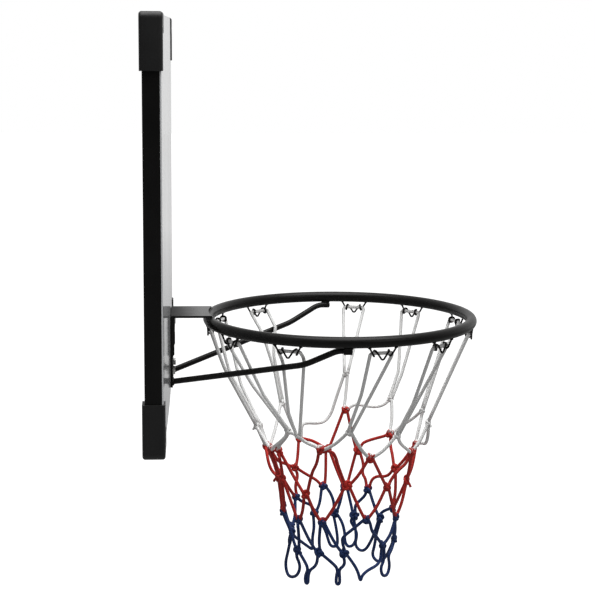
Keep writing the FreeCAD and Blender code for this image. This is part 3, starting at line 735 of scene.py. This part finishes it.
class CordBundle:
    """Collects cords, each a closed tube with its own UVs, shade and dye, and makes them one mesh."""

    SIDES = 12

    def __init__(self):
        self.places, self.faces, self.uvs, self.shades, self.dyes = [], [], [], [], []

    def lay(self, route, thickness, shade, dye=None):
        line = smooth_line(route)
        radius = thickness / 2
        first = len(self.places)
        tangents = [(after - before).normalized() for before, after in zip(line, line[1:])]
        tangents.append(tangents[-1])
        across = tangents[0].orthogonal().normalized()
        length, lengths = 0.0, []
        for index, (place, tangent) in enumerate(zip(line, tangents)):
            if index:
                length += (place - line[index - 1]).length
                across = tangents[index - 1].rotation_difference(tangent) @ across
            lengths.append(length / (math.tau * radius))
            for side in range(self.SIDES):
                spoke = Quaternion(tangent, math.tau * side / self.SIDES) @ across
                self.places.append(place + spoke * radius)
                self.shades.append(shade)
                self.dyes.append(dye(place) if dye else 0.0)
        self.skin(first, lengths)

    def skin(self, first, lengths):
        for ring in range(len(lengths) - 1):
            for side in range(self.SIDES):
                after = (side + 1) % self.SIDES
                low, high = first + ring * self.SIDES, first + (ring + 1) * self.SIDES
                self.faces.append((low + side, low + after, high + after, high + side))
                left, right = side / self.SIDES, (side + 1) / self.SIDES
                foot, top = lengths[ring], lengths[ring + 1]
                self.uvs += [(left, foot), (right, foot), (right, top), (left, top)]
        last = first + (len(lengths) - 1) * self.SIDES
        for start, order in ((first, range(self.SIDES - 1, -1, -1)), (last, range(self.SIDES))):
            self.faces.append(tuple(start + side for side in order))
            self.uvs += [(side / self.SIDES, lengths[0 if start == first else -1]) for side in order]

    def make(self, name, material, slot, *replaced):
        mesh = bpy.data.meshes.new(name)
        mesh.from_pydata(self.places, [], self.faces)
        layer = mesh.uv_layers.new(name="cord")
        layer.data.foreach_set("uv", [part for uv in self.uvs for part in uv])
        for label, values in (("shade", self.shades), ("dye", self.dyes)):
            mesh.attributes.new(label, "FLOAT", "POINT").data.foreach_set("value", values)
        mesh.materials.append(material)
        mesh.shade_smooth()
        piece = bpy.data.objects.new(name, mesh)
        bpy.context.scene.collection.objects.link(piece)
        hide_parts(*replaced)
        return piece


def uneven(number):
    """A steady, scattered value from 0 to 1 for each number."""
    return (math.sin(number * SCATTER_TURN) * SCATTER_SPREAD) % 1.0


def varied(sizes, number):
    least, more = sizes
    return least + more * uneven(number)


def knot_route(centre, outward, size, number, thickness):
    """A cord tied round itself: three lobes, its ends tucked into the middle."""
    spread = (size - thickness) / 2
    lobe, depth = spread * KNOT_LOBE, thickness * KNOT_DEPTH
    tilt = outward.to_track_quat("Z", "Y").to_matrix()
    tilt = tilt @ Matrix.Rotation(math.tau * uneven(number), 3, "Z")
    tilt = Matrix.Rotation(KNOT_TILT * (uneven(number + 0.5) - 0.5), 3, outward) @ tilt
    route = [centre]
    for step in range(KNOT_STEPS):
        turn = math.tau * (step + 0.5) / KNOT_STEPS
        reach = (spread - lobe) + lobe * math.cos(KNOT_LOBES * turn)
        around = KNOT_TURNS * turn
        wrap = (reach * math.cos(around), reach * math.sin(around), depth * math.sin(KNOT_LOBES * turn))
        route.append(centre + tilt @ Vector(wrap))
    return route + [centre]


def lay_cords(bundle, upper, lower, thickness, sag):
    """The cords from one row of knots down to the next."""
    above = KNOTS[upper]
    for number, knot in enumerate(KNOTS[lower]):
        for over, side in ((number, 1), ((number + 1) % len(above), -1)):
            top = beside(*above[over], -side, thickness)
            foot = beside(*knot, side, thickness)
            wander = SLACK.get((upper, over, number))
            if wander:
                middle = [hung_at(*place) for place in wander]
            else:
                sideways = (foot - top).cross(DOWN).normalized()
                drift = sideways * (CORD_DRIFT * (uneven(over + 3.7 * number) - 0.5))
                middle = [top.lerp(foot, share) + DOWN * sag + drift for share in SAG_SHARES]
            bundle.lay([top, *middle, foot], thickness, uneven(over * 7 + number))


class BackboardOperator:
    """What all the steps have in common."""

    bl_options = {"REGISTER", "UNDO"}


class BACKBOARD_OT_groups(BackboardOperator, bpy.types.Operator):
    """Make the grain, handling and braid effects that the finishes share"""

    bl_idname = "backboard.groups"
    bl_label = "Make shared effects"

    def execute(self, context):
        make_grain_group()
        make_handling_group()
        make_braid_group()
        return {"FINISHED"}


class BACKBOARD_OT_panel(BackboardOperator, bpy.types.Operator):
    """Finish the panel as a pale smooth sheet"""

    bl_idname = "backboard.panel"
    bl_label = "Finish panel"

    def execute(self, context):
        paint("backboard_panel", make_panel_sheet(context.scene.backboard_colours))
        return {"FINISHED"}


class BACKBOARD_OT_frame(BackboardOperator, bpy.types.Operator):
    """Coat the frame's tubes and uprights"""

    bl_idname = "backboard.frame"
    bl_label = "Coat frame"

    def execute(self, context):
        coat = finish_of("black_coat", make_black_coat, context.scene.backboard_colours)
        for side in ("top", "bottom", "left", "right"):
            paint(f"frame_{side}", coat)
        for side in ("left", "right"):
            paint(f"rear_upright_{side}", coat)
        return {"FINISHED"}


class BACKBOARD_OT_caps(BackboardOperator, bpy.types.Operator):
    """Finish the four corner caps as moulded plastic"""

    bl_idname = "backboard.caps"
    bl_label = "Finish caps"

    def execute(self, context):
        plastic = make_cap_plastic(context.scene.backboard_colours)
        for level in ("top", "bottom"):
            for side in ("left", "right"):
                paint(f"corner_cap_{level}_{side}", plastic)
        return {"FINISHED"}


class BACKBOARD_OT_rim(BackboardOperator, bpy.types.Operator):
    """Coat the bracket, ring, struts and hooks"""

    bl_idname = "backboard.rim"
    bl_label = "Coat rim"

    def execute(self, context):
        colours = context.scene.backboard_colours
        coat = finish_of("black_coat", make_black_coat, colours)
        for node in ("rim_ring", "strut_left", "strut_right", "net_hooks"):
            paint(node, coat)
        paint("rim_bracket", make_black_coat(colours, "bracket_coat", BRACKET_WEAR))
        return {"FINISHED"}


class BACKBOARD_OT_welds(BackboardOperator, bpy.types.Operator):
    """Run weld beads along the rim's seams"""

    bl_idname = "backboard.welds"
    bl_label = "Weld rim"

    def execute(self, context):
        sizes = context.scene.backboard_sizes
        drop = self.model_drop(sizes.weld_drop)
        drops = [drop]
        for number, spot in enumerate(self.spots(sizes.weld_step)):
            if number:
                drops.append(drop.copy())
                drops[-1].data = drop.data.copy()
                context.scene.collection.objects.link(drops[-1])
            drops[-1].location = spot
            drops[-1].scale = (varied(RIPPLE_SIZES, number),) * 3
        bpy.ops.object.select_all(action="DESELECT")
        for piece in drops:
            piece.select_set(True)
        context.view_layer.objects.active = drop
        bpy.ops.object.join()
        bpy.ops.object.transform_apply(location=True, rotation=True, scale=True)
        self.melt(context.object)
        coat = finish_of("black_coat", make_black_coat, context.scene.backboard_colours)
        drop.data.materials.append(coat)
        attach(drop, "board")
        return {"FINISHED"}

    def model_drop(self, radius):
        bpy.ops.object.select_all(action="DESELECT")
        bpy.ops.mesh.primitive_ico_sphere_add(subdivisions=2, radius=radius)
        drop = bpy.context.object
        drop.name = drop.data.name = "rim_welds"
        bpy.ops.object.mode_set(mode="EDIT")
        bpy.ops.mesh.select_all(action="SELECT")
        bpy.ops.transform.resize(value=(1.0, 1.0, 0.85))
        bpy.ops.object.mode_set(mode="OBJECT")
        return drop

    def spots(self, step):
        """Middles of the ripples along each seam."""
        found = []
        half = BRACKET_HIGH.y - step / 2
        for number in range(int(2 * half / step) + 1):
            angle = 180 + math.degrees(math.asin((number * step - half) / RING_MID))
            found += [by_hook(angle, 0, inward, below) for inward, below in NECK_SEAMS]
        for side in (-1, 1):
            foot = Vector((STRUT_FOOT[0], side * STRUT_FOOT[1], STRUT_FOOT[2]))
            wide, tall = STRUT_FOOT_REACH
            for number in range(STRUT_FOOT_RIPPLES):
                turn = math.tau * number / STRUT_FOOT_RIPPLES
                found.append(foot + Vector((0, wide * math.cos(turn), tall * math.sin(turn))))
            for number in range(int(STRUT_SEAM_LENGTH / step) + 1):
                along = side * number * step
                found += [by_hook(side * 90, along, inward, below) for inward, below in STRUT_SEAMS]
            for angle in HOOKS:
                found += [by_hook(angle, side * along, inward, below) for along, inward, below in LEG_WELDS]
        return found

    def melt(self, beads):
        """Runs the ripples together into one skin."""
        bpy.ops.object.modifier_add(type="REMESH")
        remesh = beads.modifiers[-1]
        remesh.mode, remesh.voxel_size = "VOXEL", WELD_VOXEL
        bpy.ops.object.modifier_apply(modifier=remesh.name)
        bpy.ops.object.modifier_add(type="SMOOTH")
        smooth = beads.modifiers[-1]
        smooth.factor, smooth.iterations = 0.5, 2
        bpy.ops.object.modifier_apply(modifier=smooth.name)
        bpy.ops.object.shade_smooth()


class BACKBOARD_OT_fasteners(BackboardOperator, bpy.types.Operator):
    """Plate the bolts, washers, nuts, screws and wall sleeves"""

    bl_idname = "backboard.fasteners"
    bl_label = "Plate fasteners"

    def execute(self, context):
        zinc = make_zinc_plate(context.scene.backboard_colours)
        for node in ("rim_bolts", "rim_washers", "rim_nuts", "panel_screws", "wall_bolt_sleeves"):
            paint(node, zinc)
        return {"FINISHED"}


class BACKBOARD_OT_loops(BackboardOperator, bpy.types.Operator):
    """Hang a white loop of the net on each hook"""

    bl_idname = "backboard.loops"
    bl_label = "Hang net loops"

    def execute(self, context):
        colours, sizes = context.scene.backboard_colours, context.scene.backboard_sizes
        white = finish_of("white_cord", make_cord, "white_cord", colours.white, colours.white)
        bundle = CordBundle()
        for number, (angle, knot) in enumerate(zip(HOOKS, KNOTS["white"])):
            route = []
            for side in (-1, 1):
                points = LOOP_IN_EYES + LOOP_BENDS.get(angle, ((), ()))[side > 0]
                places = [by_hook(angle, side * along, inward, below) for along, inward, below in points]
                half = places[:len(LOOP_IN_EYES)]
                for place in (*places[len(half):], beside(*knot, side, sizes.white_cord)):
                    half += [half[-1].lerp(place, LOOP_STRAIGHTENS), place]
                route = half[::-1] + route if side < 0 else route + half
            bundle.lay(route, sizes.white_cord, uneven(number))
        loops = bundle.make("net_rope_loops", white, "net_white", "net_loops")
        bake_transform(loops)
        return {"FINISHED"}


class BACKBOARD_OT_cords(BackboardOperator, bpy.types.Operator):
    """Lay the white, red and blue cords between the rows of knots"""

    bl_idname = "backboard.cords"
    bl_label = "Lay net cords"

    def execute(self, context):
        colours, sizes = context.scene.backboard_colours, context.scene.backboard_sizes
        bundles = {colour: CordBundle() for colour in ("white", "red", "blue")}
        lay_cords(bundles["white"], "white", "upper_red", sizes.white_cord, sizes.cord_sag)
        thin, sag = sizes.colour_cord, sizes.cord_sag
        lay_cords(bundles["red"], "upper_red", "lower_red", thin, sag)
        lay_cords(bundles["red"], "lower_red", "upper_blue", thin, sag)
        lay_cords(bundles["blue"], "upper_blue", "lower_blue", thin, sag)
        feet = KNOTS["lower_blue"]
        for number, loop in enumerate(END_LOOPS):
            first = beside(*feet[number], -1, thin)
            last = beside(*feet[(number + 1) % len(feet)], 1, thin)
            route = [first, *(hung_at(*place) for place in loop), last]
            bundles["blue"].lay(route, thin, uneven(number + 40))
        for colour, bundle in bundles.items():
            shade = getattr(colours, colour)
            rope = finish_of(f"{colour}_cord", make_cord, f"{colour}_cord", shade, shade)
            piece = bundle.make(f"net_rope_{colour}", rope, f"net_{colour}", f"net_{colour}_cords")
            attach(piece, "net")
        return {"FINISHED"}


class BACKBOARD_OT_knots(BackboardOperator, bpy.types.Operator):
    """Tie a knot where the net's cords meet"""

    bl_idname = "backboard.knots"
    bl_label = "Tie net knots"

    def execute(self, context):
        colours, sizes = context.scene.backboard_colours, context.scene.backboard_sizes
        plan = (
            ("white", ("white",), colours.white, sizes.white_knot, sizes.white_cord * WHITE_KNOT_SQUEEZE),
            ("red", ("upper_red", "lower_red"), colours.white, sizes.colour_knot, sizes.colour_cord),
            ("blue", ("upper_blue", "lower_blue"), colours.red, sizes.colour_knot, sizes.colour_cord),
        )
        for colour, rows, neighbour, size, thickness in plan:
            bundle = CordBundle()
            for row in rows:
                dipped = row.startswith("upper")
                for number, (angle, reach, drop) in enumerate(KNOTS[row]):
                    self.tie(bundle, angle, reach, drop, size, thickness, number, dipped)
            name = f"{colour}_knot"
            rope = finish_of(name, make_cord, name, getattr(colours, colour), neighbour)
            piece = bundle.make(f"net_knots_{colour}", rope, f"net_{colour}", f"net_{colour}_knots")
            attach(piece, "net")
        return {"FINISHED"}

    def tie(self, bundle, angle, reach, drop, size, thickness, number, dipped):
        centre = hung_at(angle, reach, drop)
        outward, _ = turned(angle)
        seed = number + drop * 100
        grown = size * varied(KNOT_SIZES, seed + 0.3)
        route = knot_route(centre, outward, grown, seed, thickness)
        dye = (lambda place: 0.5 + (place.z - centre.z) / size) if dipped else None
        bundle.lay(route, thickness, uneven(seed), dye)
        if uneven(seed + 0.6) > TAIL_FROM:
            self.leave_tail(bundle, centre, angle, size, thickness, seed)

    def leave_tail(self, bundle, centre, angle, size, thickness, seed):
        """The cut end of a cord, sticking out of its knot."""
        outward, tangent = turned(angle)
        way = outward * TAIL_OUT + tangent * (2 * uneven(seed + 0.2) - 1) + DOWN * TAIL_DOWN
        bend = centre + way.normalized() * size * TAIL_REACH
        tip = bend + DOWN * size * TAIL_HANG + way * size * TAIL_OVERHANG
        bundle.lay([centre, bend, tip], thickness * TAIL_THINNER, uneven(seed + 0.4))


class BACKBOARD_OT_stage(BackboardOperator, bpy.types.Operator):
    """Set up the pale floor, soft lights and camera"""

    bl_idname = "backboard.stage"
    bl_label = "Set up stage"

    def execute(self, context):
        stage = context.scene.backboard_stage
        self.lay_floor(CAD_BOX[0].z - stage.floor_drop)
        self.light_world(context.scene, stage)
        self.hang_box("top_light", *TOP_LIGHT, stage.top_power)
        self.hang_box("side_light", *SIDE_LIGHT, stage.side_power)
        self.aim_camera(context.scene)
        context.scene.view_settings.view_transform = "Standard"
        return {"FINISHED"}

    def lay_floor(self, level):
        bpy.ops.object.select_all(action="DESELECT")
        bpy.ops.mesh.primitive_plane_add(size=FLOOR_SIZE, location=(0, 0, level))
        floor = bpy.context.object
        floor.name = "studio_floor"
        bpy.ops.object.transform_apply(location=True, rotation=True, scale=True)
        finish = {"Base_Color": FLOOR_TONE, "Emission_Color": WHITE, "Roughness": 0.9}
        material, tree, shader = new_material("pale_floor", **finish)
        path = add_node(tree, "LightPath").outputs
        seen = maths(tree, "MULTIPLY", path["Is Camera Ray"], FLOOR_SHOWN)
        glow = remap(tree, split(tree, object_place(tree))["Y"], *FLOOR_GLOW)
        mirrored = maths(tree, "MULTIPLY", path["Is Glossy Ray"], glow)
        feed(tree, shader, Emission_Strength=maths(tree, "ADD", seen, mirrored))
        floor.data.materials.append(material)

    def light_world(self, scene, stage):
        world = bpy.data.worlds.new("studio")
        scene.world = world
        world.use_nodes = True
        tree = world.node_tree
        path = add_node(tree, "LightPath").outputs
        seen = maths(tree, "MAXIMUM", path["Is Camera Ray"], path["Is Transmission Ray"])
        toward = split(tree, add_node(tree, "TexCoord").outputs["Generated"])
        behind = remap(tree, toward["Y"], *BACK_GLOW)
        above = remap(tree, toward["Z"], *CEILING_GLOW)
        mirrored = maths(tree, "MAXIMUM", behind, above)
        shown = mix_colours(tree, seen, mirrored, WHITE)
        visible = maths(tree, "MAXIMUM", seen, path["Is Glossy Ray"])
        soft = remap(tree, toward["Z"], *SKY_RISE, SKY_FOOT * stage.sky_power, stage.sky_power)
        sky = mix_colours(tree, visible, soft, shown)
        tree.links.new(sky, tree.nodes["Background"].inputs["Color"])

    def hang_box(self, name, place, size, power):
        lamp = bpy.data.lights.new(name, "AREA")
        lamp.size, lamp.energy = size, power
        box = bpy.data.objects.new(name, lamp)
        bpy.context.scene.collection.objects.link(box)
        box.location = place
        box.rotation_euler = (RING_CENTRE - box.location).to_track_quat("-Z", "Y").to_euler()

    def aim_camera(self, scene):
        lens = bpy.data.cameras.new("camera")
        lens.lens = CAMERA_LENS
        camera = bpy.data.objects.new("camera", lens)
        scene.collection.objects.link(camera)
        level = Vector((math.sin(CAMERA_TURN), math.cos(CAMERA_TURN), 0)) * math.cos(CAMERA_TILT)
        ahead = level + DOWN * math.sin(CAMERA_TILT)
        right = Vector((math.cos(CAMERA_TURN), -math.sin(CAMERA_TURN), 0))
        right = Quaternion(ahead, -CAMERA_ROLL) @ right
        up = right.cross(ahead)
        camera.matrix_world = Matrix((right, up, -ahead)).transposed().to_4x4()
        camera.location = CAMERA_PLACE
        scene.camera = camera


class BACKBOARD_PT_sidebar(bpy.types.Panel):
    """Lists the finishing steps in order"""

    bl_label = "Backboard"
    bl_space_type = "VIEW_3D"
    bl_region_type = "UI"
    bl_category = "Backboard"

    def draw(self, context):
        for step in STEPS:
            self.layout.operator(step.bl_idname)
        for name, kind in GROUPS.items():
            box = self.layout.box()
            for prop in kind.__annotations__:
                box.prop(getattr(context.scene, name), prop)


STEPS = (
    BACKBOARD_OT_groups,
    BACKBOARD_OT_panel,
    BACKBOARD_OT_frame,
    BACKBOARD_OT_caps,
    BACKBOARD_OT_rim,
    BACKBOARD_OT_welds,
    BACKBOARD_OT_fasteners,
    BACKBOARD_OT_loops,
    BACKBOARD_OT_cords,
    BACKBOARD_OT_knots,
    BACKBOARD_OT_stage,
)
GROUPS = {
    "backboard_colours": BackboardColours,
    "backboard_sizes": BackboardSizes,
    "backboard_stage": BackboardStage,
}


def register():
    for kind in (*GROUPS.values(), *STEPS, BACKBOARD_PT_sidebar):
        bpy.utils.register_class(kind)
    for name, kind in GROUPS.items():
        setattr(bpy.types.Scene, name, bpy.props.PointerProperty(type=kind))


def unregister():
    for name in GROUPS:
        delattr(bpy.types.Scene, name)
    for kind in reversed((*GROUPS.values(), *STEPS, BACKBOARD_PT_sidebar)):
        bpy.utils.unregister_class(kind)


def main():
    register()
    for step in STEPS:
        area, name = step.bl_idname.split(".")
        getattr(getattr(bpy.ops, area), name)()


if __name__ == "__main__":
    main()
